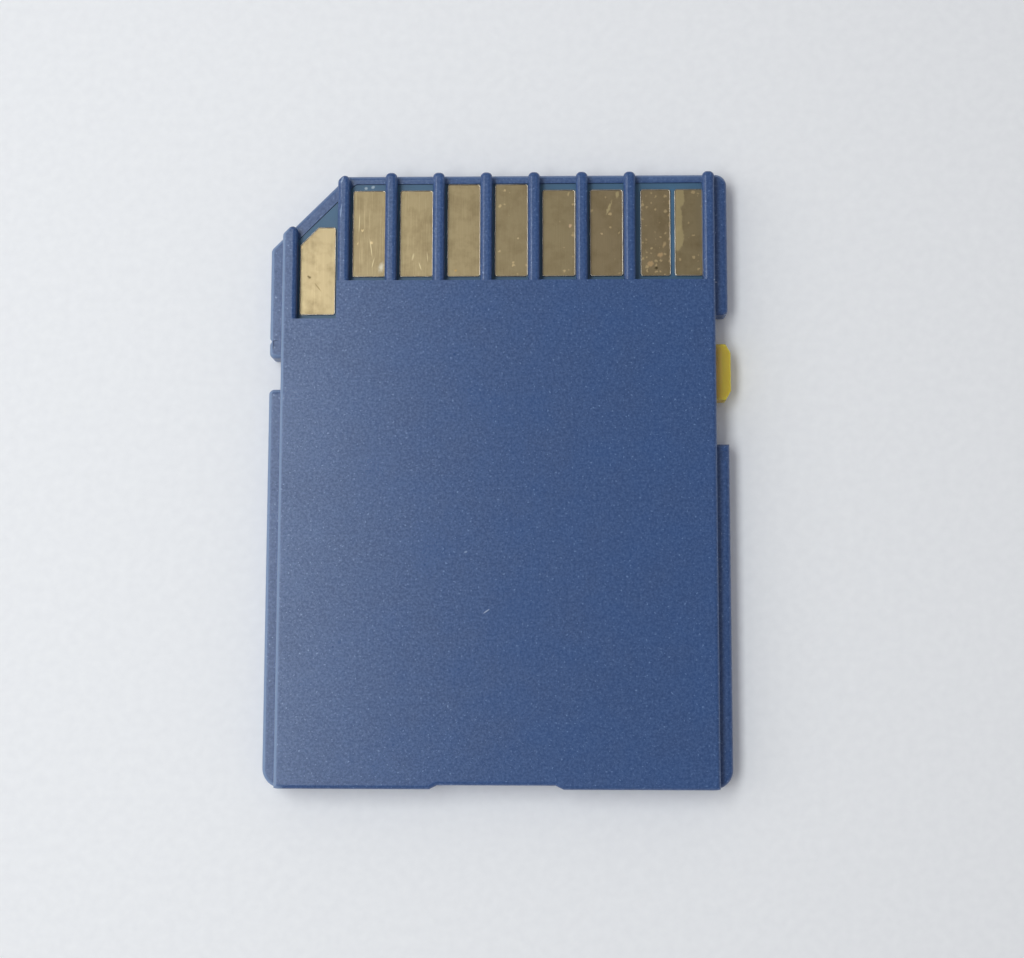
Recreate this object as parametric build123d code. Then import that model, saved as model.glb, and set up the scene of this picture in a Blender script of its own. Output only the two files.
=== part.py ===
"""Full-size memory card: two welded shells, a circuit board with contacts and packages, a sliding tab.

Millimetres. X runs across the card, Y towards the contact edge and Z up through the thickness, from
the label side on which the card lies to the contact side. The origin is under the middle of the card.
Places along the card are measured back from the contact edge.
"""
from build123d import *
import os

# Plan of the card
card_length = 32.0
card_width = 24.0
corner_cut = 3.95             # 45 degree cut beside contact 9
lead_corner_radius = 0.6      # contact edge, beside contact 8
tail_corner_radius = 1.0      # both corners of the far edge
cut_corner_radius = 0.3       # where the cut meets the two straight edges
rail_width = 0.7              # thin rail along each side of the raised panel
grip_width = 6.8              # shallow finger recess in the far edge
grip_depth = 0.2
grip_end = 0.4                # run of its sloped ends

# Thickness, stacked from the label side up to the 1.4 rails and the 2.1 panel
front_wall = 0.35
component_clearance = 0.05
flash_height = 0.55
controller_height = 0.5
capacitor_height = 0.5
resistor_height = 0.35
board_thickness = 0.4
pad_thickness = 0.05
contact_recess = 0.7          # contacts lie this far below the raised panel
parting_height = 0.7          # seam between the two shells

# Shell walls and edges
side_wall = 0.45              # from the cavity to the side of the raised panel
tail_wall = 0.8
lip_width = 0.46              # low lip in front of the contacts
cut_lip_width = 0.66          # the same lip along the cut
board_headroom = 0.3          # hollow over the board, under the raised panel
ledge_width = 0.6             # back shell's seat for the board
ring_width = 0.5              # front shell's ring that holds the board up
cavity_corner_radius = 0.2
rail_edge_radius = 0.24
front_edge_radius = 0.15
seam_bevel = 0.04
label_margin = 1.2            # plain recess in the front face
label_depth = 0.1
label_corner_radius = 0.5

# Contact windows and the ribs between them
single_windows = 6            # contacts 1 to 6
window_depth = 5.8
corner_window_depth = 7.82    # contact 9
corner_window_width = 2.1
twin_window_width = 3.485     # contacts 7 and 8 share one window
left_strip_width = 0.765      # panel left beside contact 9
right_strip_width = 0.63      # panel left beside contact 8
rib_width = 0.62
rib_tip_radius = 0.26
rib_edge_radius = 0.22        # along the panel's sides too
rib_root = 0.6                # each rib runs this far into the panel

# Contacts
pad_left_margin = 0.14        # bare board at the left of a contact
pad_right_margin = 0.04
pad_end_margin = 0.35         # bare board at the inner end of a window
pad_front_margin = 0.36       # bare board in front of a signal contact
power_pad_front_margin = 0.04 # bare board in front of the longer supply contacts
power_pads = {3, 4}
twin_pad_left_margin = 0.3
twin_pad_width = 1.53
twin_pad_gap = 0.26           # contact 8 reaches a little under the strip beside it
corner_pad_left_margin = 0.1
corner_pad_right_margin = 0.16
corner_pad_front_margin = 2.33
corner_pad_cut_margin = 0.29  # bare board between the lip along the cut and contact 9
pad_corner_radius = 0.12

# Side notches, with a small moulding pocket in the rail beside each
lock_notch_start = 9.76
lock_notch_length = 1.66
notch_corner_radius = 0.27
pocket_length = 0.46
pocket_width = 0.24
pocket_depth = 0.06
pocket_edge = 0.19            # wall left between a pocket and the rail's edge
lock_pocket_gap = 0.47
protect_pocket_gap = 0.37
nick_depth = 0.13             # gate nick in the rail's edge, beside the lock notch's pocket
nick_length = 0.36
nick_gap = 0.86               # from the lock notch to the middle of the nick

# Write-protect slider and its notch
protect_notch_start = 7.53
tab_lead_gap = 1.54           # notch left open ahead of the tab, at rest
tab_tail_gap = 0.34           # notch left open behind the tab, at full travel
tab_length = 2.94
tab_travel = 2.0
tab_proud = 0.12              # tab stands out from the rail's edge
tab_inset = 0.15              # tab's faces lie inside the rail's faces
tab_bevel_length = 0.46
tab_bevel_depth = 0.26
tab_edge_radius = 0.08
neck_length = 1.7
neck_height = 0.5
head_length = 2.6
head_width = 0.7
slide_clearance = 0.05

# Board and the components under it
board_clearance = 0.02
cutout_clearance = 0.15       # board and ring stay this far from the slider's head
package_margin = 0.8          # from the flash package to the ring
flash_width = 14.0
flash_length = 11.0
controller_size = 7.0
controller_start = 2.4
package_bevel = 0.08
dimple_radius = 0.4
dimple_depth = 0.05
dimple_inset = 1.0
capacitor_length = 1.6
capacitor_width = 0.8
capacitor_count = 4
capacitor_pitch = 1.7
resistor_length = 1.0
resistor_width = 0.5
resistor_count = 6
resistor_pitch = 1.1
passive_gap = 0.9             # from the controller to the rows beside it
terminal_length = 0.25        # plated end of a capacitor or resistor
terminal_proud = 0.02

# Places that follow from the sizes above
half_length = card_length / 2
half_width = card_width / 2
panel_half_width = half_width - rail_width
cavity_half_width = panel_half_width - side_wall
cut_line = half_length + half_width - corner_cut  # the cut is the line y - x = cut_line
tallest_component = max(flash_height, controller_height, capacitor_height, resistor_height)
board_bottom = front_wall + component_clearance + tallest_component
board_top = board_bottom + board_thickness
rail_top = board_top + pad_thickness
card_thickness = rail_top + contact_recess
board_setback = lip_width + board_clearance
panel_base = (parting_height + rail_top) / 2  # the panel's solid starts inside the rails
windows_left = -panel_half_width + left_strip_width
windows_right = panel_half_width - right_strip_width
first_rib_left = windows_left + corner_window_width
last_rib_left = windows_right - twin_window_width - rib_width
contact_pitch = (last_rib_left - first_rib_left) / single_windows
protect_notch_length = tab_lead_gap + tab_length + tab_travel + tab_tail_gap
tab_middle = half_length - protect_notch_start - tab_lead_gap - tab_length / 2
slot_height = neck_height + 2 * slide_clearance
slot_middle = rail_top / 2
head_outer = cavity_half_width - slide_clearance
head_inner = head_outer - head_width
diagonal = 2**0.5             # shift of a 45 degree line for a step square to it
past = 1.0                    # how far a cutting shape runs past what it cuts

# Edge roundings stay smaller than the corners and walls they run around
notch_round_limit = 0.9 * min(notch_corner_radius, cut_corner_radius)
front_round = min(front_edge_radius, notch_round_limit)
rail_round = min(rail_edge_radius, notch_round_limit)
tip_round = min(rib_tip_radius, 0.43 * min(rib_width, left_strip_width, right_strip_width))
rib_round = min(rib_edge_radius, 0.9 * tip_round)


def slab(plan, bottom, top):
    """Plan raised to a solid between two heights."""
    return Pos(0, 0, bottom) * extrude(plan, amount=top - bottom)


def patch(x_range, y_range):
    """Flat rectangle between two limits on each axis."""
    sizes = [high - low for low, high in (x_range, y_range)]
    middle = [(low + high) / 2 for low, high in (x_range, y_range)]
    return Pos(*middle) * Rectangle(*sizes)


def block(x_range, y_range, z_range):
    """Solid box between two limits on each axis."""
    sizes = [high - low for low, high in (x_range, y_range, z_range)]
    middle = [(low + high) / 2 for low, high in (x_range, y_range, z_range)]
    return Pos(*middle) * Box(*sizes)


def corner_near(plan, x, y):
    """Corner of a plan that lies nearest to a point."""
    return plan.vertices().sort_by_distance((x, y, 0))[0]


def edges_at(solid, height):
    """Outer edges of a solid's flat face at a height."""
    face = solid.faces().filter_by(Axis.Z).sort_by(lambda f: abs(f.center().Z - height))[0]
    return face.outer_wire().edges()


def cut_plan(half_x, lead_y, tail_y, line):
    """Rectangle with one corner cut along the line y - x = line."""
    tail = [(-half_x, tail_y), (half_x, tail_y)]
    lead = [(half_x, lead_y), (lead_y - line, lead_y), (-half_x, line - half_x)]
    return make_face(Polyline(*tail, *lead, close=True))


def grip_plan():
    """Finger recess in the far edge, with sloped ends."""
    outer = grip_width / 2
    inner_y = -half_length + grip_depth
    flare = past * grip_end / grip_depth
    corners = [
        (-outer - flare, -half_length - past),
        (outer + flare, -half_length - past),
        (outer - grip_end, inner_y),
        (-outer + grip_end, inner_y),
    ]
    return make_face(Polyline(*corners, close=True))


def outline_plan():
    """Outline of the card with its cut and rounded corners and finger recess."""
    plan = cut_plan(half_width, half_length, -half_length, cut_line)
    tail_corners = [corner_near(plan, side * half_width, -half_length) for side in (-1, 1)]
    plan = fillet(tail_corners, tail_corner_radius)
    plan = fillet(corner_near(plan, half_width, half_length), lead_corner_radius)
    cut_ends = [(half_length - cut_line, half_length), (-half_width, cut_line - half_width)]
    plan = fillet([corner_near(plan, *end) for end in cut_ends], cut_corner_radius)
    return plan - grip_plan()


def notch_plan(side, start, length):
    """Side notch that takes the whole width of a rail, on the left (-1) or right (1) edge."""
    x_range = sorted((side * panel_half_width, side * (half_width + past)))
    return patch(x_range, (half_length - start - length, half_length - start))


def nick_plan():
    """Small V in the left edge; its sides meet the edge a nick length apart."""
    middle = half_length - lock_notch_start + nick_gap
    corners = [
        (-half_width - nick_depth, middle - nick_length),
        (-half_width + nick_depth, middle),
        (-half_width - nick_depth, middle + nick_length),
    ]
    return make_face(Polyline(*corners, close=True))


def card_plan():
    """Outline with both side notches; three of their four outer corners are rounded."""
    plan = outline_plan()
    plan -= notch_plan(-1, lock_notch_start, lock_notch_length)
    plan -= notch_plan(1, protect_notch_start, protect_notch_length)
    rounded = [
        (-half_width, half_length - lock_notch_start),
        (-half_width, half_length - lock_notch_start - lock_notch_length),
        (half_width, half_length - protect_notch_start),
    ]
    return fillet([corner_near(plan, *corner) for corner in rounded], notch_corner_radius)


def cavity_plan(inset=0.0):
    """Inside of the walls, or that shape moved inwards by an inset."""
    half_x = cavity_half_width - inset
    lead_y = half_length - lip_width - inset
    tail_y = -half_length + tail_wall + inset
    plan = cut_plan(half_x, lead_y, tail_y, cut_line - diagonal * (cut_lip_width + inset))
    return fillet(plan.vertices(), cavity_corner_radius)


def window_spans():
    """Left and right edge and depth of each window, from contact 9 across to contacts 7 and 8."""
    spans = [(windows_left, first_rib_left, corner_window_depth)]
    for index in range(single_windows):
        left = first_rib_left + index * contact_pitch + rib_width
        spans.append((left, left + contact_pitch - rib_width, window_depth))
    spans.append((windows_right - twin_window_width, windows_right, window_depth))
    return spans


def rib_spans():
    """Left and right edge and inner end of each rib, and of the strip at each side of the windows."""
    main_end = half_length - window_depth
    corner_end = half_length - corner_window_depth
    spans = [(-panel_half_width, windows_left, corner_end)]
    for index in range(single_windows + 1):
        left = first_rib_left + index * contact_pitch
        spans.append((left, left + rib_width, main_end if index else corner_end))
    spans.append((windows_right, panel_half_width, main_end))
    return spans


def make_rib(left, right, inner_end):
    """Rib with a rounded tip and rounded top edges; shrinking and growing its plan rounds the tip."""
    plan = outline_plan() & patch((left, right), (inner_end - rib_root, half_length))
    plan = offset(offset(plan, -tip_round), tip_round)
    rib = slab(plan, panel_base, card_thickness)
    return fillet(edges_at(rib, card_thickness), rib_round)


def make_panel():
    """Raised panel behind the windows, rounded along its sides and far edge but crisp at the windows."""
    plan = outline_plan() & Rectangle(2 * panel_half_width, card_length)
    for x_range, depth in (
        ((-half_width, first_rib_left), corner_window_depth),
        ((first_rib_left, half_width), window_depth),
    ):
        plan -= patch(x_range, (half_length - depth, half_length + past))
    panel = slab(plan, panel_base, card_thickness)
    outer_edges = [
        edge
        for edge in edges_at(panel, card_thickness)
        if abs(edge.center().X) > cavity_half_width or edge.center().Y < -half_length + tail_wall
    ]
    return fillet(outer_edges, rib_round)


def slider_slot():
    """Slot through the wall behind the right notch, in which the slider's neck runs."""
    reach = neck_length / 2 + slide_clearance
    return block(
        (head_inner, panel_half_width + past),
        (tab_middle - tab_travel - reach, tab_middle + reach),
        (slot_middle - slot_height / 2, slot_middle + slot_height / 2),
    )


def head_channel(bottom, top):
    """Room for the slider's inner head over its whole travel."""
    reach = head_length / 2 + cutout_clearance
    return block(
        (head_inner - cutout_clearance, cavity_half_width),
        (tab_middle - tab_travel - reach, tab_middle + reach),
        (bottom, top),
    )


def rail_pockets():
    """Two small pockets sunk in the rails, one ahead of the lock notch and one behind the right notch."""
    outer = half_width - pocket_edge
    inner = outer - pocket_width
    heights = (rail_top - pocket_depth, rail_top + past)
    lock_y = half_length - lock_notch_start + lock_pocket_gap
    protect_y = half_length - protect_notch_start - protect_notch_length - protect_pocket_gap
    left = block((-outer, -inner), (lock_y, lock_y + pocket_length), heights)
    right = block((inner, outer), (protect_y - pocket_length, protect_y), heights)
    return left + right


def make_front_shell():
    """Label-side shell: shallow tray whose ring reaches up inside the back shell to carry the board."""
    shell = slab(card_plan(), 0, parting_height)
    shell = fillet(edges_at(shell, 0), front_round)
    shell = chamfer(edges_at(shell, parting_height), seam_bevel)
    shell += slab(cavity_plan(board_clearance), parting_height - seam_bevel, board_bottom)
    shell -= slab(cavity_plan(board_clearance + ring_width), front_wall, board_bottom + past)
    shell -= head_channel(front_wall, board_bottom + past)
    shell -= slider_slot()
    label = cut_plan(
        half_width - label_margin,
        half_length - label_margin,
        -half_length + label_margin,
        cut_line - diagonal * label_margin,
    )
    return shell - slab(fillet(label.vertices(), label_corner_radius), -past, label_depth)


def make_back_shell():
    """Contact-side shell: thin rails, raised panel with windows and ribs, and the hollow for the board."""
    rails = slab(card_plan(), parting_height, rail_top)
    rails = chamfer(edges_at(rails, parting_height), seam_bevel)
    rails = fillet(edges_at(rails, rail_top), rail_round)
    rails -= slab(nick_plan(), parting_height - past, rail_top + past)
    shell = rails + make_panel() + [make_rib(*span) for span in rib_spans()]
    shell -= slab(cavity_plan(), parting_height - past, board_top)
    contact_end = half_length - corner_window_depth
    contact_area = patch((-half_width, half_width), (contact_end, half_length))
    shell -= slab(cavity_plan() & contact_area, board_top - past, rail_top)
    hollow_half_width = cavity_half_width - ledge_width
    hollow_tail = -half_length + tail_wall + ledge_width
    hollow_lead = half_length - max(window_depth, corner_window_depth) - ledge_width
    shell -= block(
        (-hollow_half_width, hollow_half_width),
        (hollow_tail, hollow_lead),
        (board_top, board_top + board_headroom),
    )
    return shell - slider_slot() - rail_pockets()


def make_circuit_board():
    """Thin board that fills the cavity, cut away beside the slider."""
    board = slab(cavity_plan(board_clearance), board_bottom, board_top)
    return board - head_channel(board_bottom - past, board_top + past)


def pad_plan(left, right, front_margin, depth):
    """Contact between two sides, from bare board at the front back to the end of its window."""
    lead = half_length - board_setback - front_margin
    tail = half_length - depth + pad_end_margin
    return patch((left, right), (tail, lead))


def pad_plans():
    """Plans of the nine contacts by number."""
    spans = window_spans()
    plans = {}
    for number in range(1, single_windows + 1):
        left, right, depth = spans[number]
        front_margin = power_pad_front_margin if number in power_pads else pad_front_margin
        plans[number] = pad_plan(left + pad_left_margin, right - pad_right_margin, front_margin, depth)
    left, _, depth = spans[-1]
    for number in (7, 8):
        twin_left = left + twin_pad_left_margin + (number - 7) * (twin_pad_width + twin_pad_gap)
        plans[number] = pad_plan(twin_left, twin_left + twin_pad_width, pad_front_margin, depth)
    left, right, depth = spans[0]
    left += corner_pad_left_margin
    right -= corner_pad_right_margin
    corner = pad_plan(left, right, corner_pad_front_margin, depth)
    pad_setback = cut_lip_width + board_clearance + corner_pad_cut_margin
    pad_cut_line = cut_line - diagonal * pad_setback
    plans[9] = corner & cut_plan(half_width, half_length, -half_length, pad_cut_line)
    return plans


def make_pad(plan):
    """Contact plate on the board, with slightly rounded corners."""
    return slab(fillet(plan.vertices(), pad_corner_radius), board_top, rail_top)


def package(middle_y, width, length, height):
    """Moulded package under the board, with bevelled edges and a dimple at its first terminal."""
    bottom = board_bottom - height
    body = Pos(0, middle_y, board_bottom - height / 2) * Box(width, length, height)
    body = chamfer(edges_at(body, bottom), package_bevel)
    dimple = Cylinder(dimple_radius, 2 * dimple_depth)
    return body - Pos(dimple_inset - width / 2, middle_y + length / 2 - dimple_inset, bottom) * dimple


def chip_component(middle_x, middle_y, length, width, height):
    """Small two-terminal component under the board, lying across the card, with plated ends."""
    middle = board_bottom - height / 2
    core_width = width - 2 * terminal_proud
    core_height = height - 2 * terminal_proud
    body = Pos(middle_x, middle_y, middle) * Box(length, core_width, core_height)
    for side in (-1, 1):
        end = middle_x + side * (length - terminal_length) / 2
        body += Pos(end, middle_y, middle) * Box(terminal_length, width, height)
    return body


def row_places(middle, count, pitch):
    """Evenly spaced places around a middle, front to back."""
    return [middle + pitch * ((count - 1) / 2 - index) for index in range(count)]


def make_slider():
    """Write-protect slider: bevelled tab in the notch, neck through the slot and head inside the wall."""
    inner = panel_half_width + slide_clearance
    outer = half_width + tab_proud
    reach = tab_length / 2
    corners = [
        (inner, -reach),
        (outer - tab_bevel_depth, -reach),
        (outer, -reach + tab_bevel_length),
        (outer, reach - tab_bevel_length),
        (outer - tab_bevel_depth, reach),
        (inner, reach),
    ]
    tab = slab(make_face(Polyline(*corners, close=True)), tab_inset, rail_top - tab_inset)
    outer_edges = tab.edges().filter_by_position(Axis.X, inner + slide_clearance, outer)
    tab = fillet(outer_edges, tab_edge_radius)
    neck = block(
        (head_inner, inner + tab_edge_radius),
        (-neck_length / 2, neck_length / 2),
        (slot_middle - neck_height / 2, slot_middle + neck_height / 2),
    )
    head = block(
        (head_inner, head_outer),
        (-head_length / 2, head_length / 2),
        (front_wall + slide_clearance, board_top - slide_clearance),
    )
    return Pos(0, tab_middle, 0) * (tab + neck + head)


def build_nodes():
    """Every piece of the card by name."""
    nodes = {
        "front_shell": make_front_shell(),
        "back_shell": make_back_shell(),
        "circuit_board": make_circuit_board(),
        "write_protect_slider": make_slider(),
    }
    for number, plan in pad_plans().items():
        nodes[f"contact_pad_{number}"] = make_pad(plan)
    ring_tail = -half_length + tail_wall + board_clearance + ring_width
    flash_y = ring_tail + package_margin + flash_length / 2
    nodes["flash_chip"] = package(flash_y, flash_width, flash_length, flash_height)
    controller_y = half_length - controller_start - controller_size / 2
    nodes["controller_chip"] = package(controller_y, controller_size, controller_size, controller_height)
    row_start = controller_size / 2 + passive_gap
    for index, y in enumerate(row_places(controller_y, capacitor_count, capacitor_pitch), 1):
        x = -row_start - capacitor_length / 2
        body = chip_component(x, y, capacitor_length, capacitor_width, capacitor_height)
        nodes[f"capacitor_{index}"] = body
    for index, y in enumerate(row_places(controller_y, resistor_count, resistor_pitch), 1):
        x = row_start + resistor_length / 2
        body = chip_component(x, y, resistor_length, resistor_width, resistor_height)
        nodes[f"resistor_{index}"] = body
    return nodes


os.makedirs("parts", exist_ok=True)
for name, solid in build_nodes().items():
    export_step(solid, f"parts/{name}.step")
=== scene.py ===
"""Dressed model of a full-size memory card: finishes, plated contact edges, floor, light and camera.

Blender works in metres and shares the frame of the solids: X across the card, Y towards the contact
edge, Z up out of the contact side. Sizes written in millimetres pass through ``mm`` or ``cells``.
"""

import logging
import math
from dataclasses import dataclass, field, replace
from enum import Enum
from typing import Any, Mapping, Sequence

import bpy
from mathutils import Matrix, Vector, geometry


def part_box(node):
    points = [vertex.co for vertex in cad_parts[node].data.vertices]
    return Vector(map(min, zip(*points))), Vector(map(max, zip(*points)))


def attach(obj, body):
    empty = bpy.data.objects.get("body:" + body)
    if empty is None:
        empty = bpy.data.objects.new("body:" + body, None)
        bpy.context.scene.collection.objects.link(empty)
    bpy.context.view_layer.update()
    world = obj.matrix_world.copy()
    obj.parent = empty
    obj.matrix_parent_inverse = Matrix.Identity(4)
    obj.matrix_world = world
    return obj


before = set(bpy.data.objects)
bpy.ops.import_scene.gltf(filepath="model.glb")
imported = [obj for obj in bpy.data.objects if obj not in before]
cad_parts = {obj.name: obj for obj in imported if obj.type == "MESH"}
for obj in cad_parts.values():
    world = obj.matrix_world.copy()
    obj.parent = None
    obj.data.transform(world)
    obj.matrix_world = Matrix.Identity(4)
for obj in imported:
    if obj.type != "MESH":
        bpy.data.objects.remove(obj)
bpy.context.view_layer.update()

LOG = logging.getLogger("memory_card")

Socket = bpy.types.NodeSocket
Tree = bpy.types.NodeTree

MM_IN_METRE = 1000.0

# Sockets of the colour mix node, whose names repeat for each kind of value
MIX_FACTOR, MIX_A, MIX_B, MIX_RESULT = 0, 6, 7, 2

# Radians that the wave texture turns through for each unit of its scaled coordinates
WAVE_TURN = 20.0

# Colour about which the noise texture swings
NOISE_MIDDLE = (0.5, 0.5, 0.5)


class Body(Enum):
    """Rigid body that an added piece rides on."""

    CARD = "card"


class Slot(Enum):
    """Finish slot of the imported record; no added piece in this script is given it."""

    GOLD = "contact_gold"


class WearAndShade(Enum):
    """How far a contact's plating has dulled, as its colour, with painted shade: darker towards the right,
    away from the lamps.
    """

    BRIGHT = "#A89674"
    WIPED = "#9D8C6B"
    DULL = "#958566"
    TARNISHED = "#918063"
    POLISHED = "#B8B0A4"


class Curve(Enum):
    """How a ramp runs between its two ends."""

    STRAIGHT = "LINEAR"
    EASED = "SMOOTHSTEP"


def mm(size: float) -> float:
    """Turn millimetres to metres."""
    return size / MM_IN_METRE


def cells(size_mm: float) -> float:
    """Pattern scale that gives cells of a size in millimetres."""
    return MM_IN_METRE / size_mm


def linear(colour: str) -> tuple[float, float, float, float]:
    """Turn an sRGB hex colour to linear light, by the curve of the sRGB standard.

    Args:
        colour: Colour as #RRGGBB.

    Returns:
        Linear red, green, blue and an alpha of 1.
    """
    parts = [int(colour[start:start + 2], 16) / 255.0 for start in (1, 3, 5)]
    light = [part / 12.92 if part <= 0.04045 else ((part + 0.055) / 1.055) ** 2.4 for part in parts]
    return (light[0], light[1], light[2], 1.0)


def add_node(
    tree: Tree, kind: str, inputs: Mapping[Any, Any] | None = None, **settings: Any
) -> bpy.types.Node:
    """Add one node with its settings, values and links.

    Args:
        tree: Node tree that gets the node.
        kind: Type name of the node.
        inputs: Value or output socket for each input, by name or place.
        **settings: Properties of the node itself.

    Returns:
        The new node.
    """
    node = tree.nodes.new(kind)
    for name, value in settings.items():
        setattr(node, name, value)
    for key, value in (inputs or {}).items():
        if isinstance(value, Socket):
            tree.links.new(value, node.inputs[key])
        else:
            node.inputs[key].default_value = value
    return node


def blend(tree: Tree, share: Socket, under: Socket | str, over: Socket | str) -> Socket:
    """Lay one colour over another.

    Args:
        tree: Node tree of the material.
        share: How much of the upper colour shows.
        under: Lower colour, as an output or as #RRGGBB.
        over: Upper colour, as an output or as #RRGGBB.

    Returns:
        The mixed colour.
    """
    low, high = (linear(colour) if isinstance(colour, str) else colour for colour in (under, over))
    mixed = add_node(
        tree, "ShaderNodeMix", {MIX_FACTOR: share, MIX_A: low, MIX_B: high}, data_type="RGBA"
    )
    return mixed.outputs[MIX_RESULT]


def compute(tree: Tree, operation: str, *values: Socket | float) -> Socket:
    """Work out one value from others."""
    return add_node(tree, "ShaderNodeMath", dict(enumerate(values)), operation=operation).outputs[0]


def split(tree: Tree, vector: Socket) -> tuple[Socket, ...]:
    """Split a vector into its X, Y and Z."""
    return tuple(add_node(tree, "ShaderNodeSeparateXYZ", {"Vector": vector}).outputs)


def shader(tree: Tree, inputs: Mapping[str, Any]) -> Socket:
    """Make a surface's shader from its values and outputs."""
    return add_node(tree, "ShaderNodeBsdfPrincipled", inputs).outputs[0]


@dataclass(frozen=True)
class Ramp:
    """Range of a value that runs to a range of results and holds at both ends.

    Attributes:
        start: Value that gives the first result.
        end: Value that gives the last result.
        first: Result at the start.
        last: Result at the end.
        curve: How it runs in between.
    """

    start: float = 0.0
    end: float = 1.0
    first: float | Socket = 0.0
    last: float = 1.0
    curve: Curve = Curve.STRAIGHT

    def of(self, tree: Tree, value: Socket) -> Socket:
        """Run a value through the ramp.

        Args:
            tree: Node tree that gets the ramp.
            value: Value to run through it.

        Returns:
            Result of the ramp.
        """
        ends = {"From Min": self.start, "From Max": self.end, "To Min": self.first, "To Max": self.last}
        node = add_node(
            tree, "ShaderNodeMapRange", {"Value": value, **ends}, interpolation_type=self.curve.value
        )
        return node.outputs[0]


@dataclass(frozen=True)
class Grain:
    """Cloudy pattern of a surface.

    Attributes:
        size: Size of its cells in millimetres.
        detail: Number of finer layers over the cells.
        roughness: How strongly the finer layers show.
    """

    size: float
    detail: float
    roughness: float = 0.5

    def node(self, tree: Tree, place: Socket) -> bpy.types.Node:
        """Add the pattern's node.

        Args:
            tree: Node tree of the material.
            place: Coordinates on the piece, in metres.

        Returns:
            Node with the pattern as a value and as a colour.
        """
        return add_node(
            tree, "ShaderNodeTexNoise",
            {
                "Vector": place, "Scale": cells(self.size),
                "Detail": self.detail, "Roughness": self.roughness,
            },
        )

    def on(self, tree: Tree, place: Socket) -> Socket:
        """Lay the pattern on a piece, as a value."""
        return self.node(tree, place).outputs[0]


@dataclass(frozen=True)
class Lines:
    """Pattern of fine lines along the card.

    Attributes:
        width: Width of a line in millimetres.
        length: Length of a line in millimetres.
        depth: How far a line reaches through the piece in millimetres.
        detail: Number of finer layers over the lines.
        roughness: How strongly the finer layers show.
        turn: Turn of the lines about Z in degrees.
    """

    width: float
    length: float
    depth: float
    detail: float
    roughness: float = 0.5
    turn: float = 0.0

    def on(self, tree: Tree, place: Socket) -> Socket:
        """Lay the lines on a piece.

        Args:
            tree: Node tree of the material.
            place: Coordinates on the piece, in metres.

        Returns:
            The lines as a value.
        """
        drawn = add_node(
            tree, "ShaderNodeMapping",
            {
                "Vector": place, "Rotation": (0.0, 0.0, math.radians(self.turn)),
                "Scale": (cells(self.width), cells(self.length), cells(self.depth)),
            },
        )
        # A cell of one metre keeps the scale that the lines' own sizes give
        return Grain(MM_IN_METRE, self.detail, self.roughness).on(tree, drawn.outputs[0])


@dataclass(frozen=True)
class Relief:
    """Fine height of a pattern, which turns the light.

    Attributes:
        height: Height of the pattern in millimetres.
        strength: How much of that height shows.
    """

    height: float
    strength: float

    def of(self, tree: Tree, pattern: Socket) -> Socket:
        """Turn a pattern to surface directions.

        Args:
            tree: Node tree of the material.
            pattern: Pattern whose high places stand out.

        Returns:
            Surface direction.
        """
        bump = add_node(
            tree, "ShaderNodeBump",
            {"Height": pattern, "Strength": self.strength, "Distance": mm(self.height)},
        )
        return bump.outputs[0]


@dataclass(frozen=True)
class Mark:
    """One spot, pit or scratch: a soft ellipse on a surface.

    Attributes:
        x: Place across the card in millimetres.
        y: Place along the card in millimetres.
        length: Full length of the mark in millimetres.
        width: Full width of the mark in millimetres.
        angle: Turn of its length from the X axis in degrees.
        colour: Colour that the mark shows.
        share: How much of that colour covers the surface.
        soft: Part of its half width over which it fades out.
    """

    x: float
    y: float
    length: float
    width: float
    angle: float
    colour: str
    share: float = 0.8
    soft: float = 0.55

    def over(self, tree: Tree, place: Socket, colour: Socket) -> Socket:
        """Lay the mark over a colour.

        Args:
            tree: Node tree of the material.
            place: Coordinates on the piece, in metres.
            colour: Colour under the mark.

        Returns:
            Colour with the mark on it.
        """
        local = add_node(
            tree, "ShaderNodeMapping",
            {
                "Vector": place,
                "Location": (mm(self.x), mm(self.y), 0.0),
                "Rotation": (0.0, 0.0, math.radians(self.angle)),
                "Scale": (mm(self.length / 2), mm(self.width / 2), 1.0),
            },
            vector_type="TEXTURE",
        )
        flat = add_node(
            tree, "ShaderNodeVectorMath", {0: local.outputs[0], 1: (1.0, 1.0, 0.0)}, operation="MULTIPLY"
        )
        reach = add_node(tree, "ShaderNodeVectorMath", {0: flat.outputs[0]}, operation="LENGTH")
        fade = Ramp(1.0, 1.0 - self.soft, last=self.share, curve=Curve.EASED)
        return blend(tree, fade.of(tree, reach.outputs["Value"]), colour, self.colour)


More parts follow.
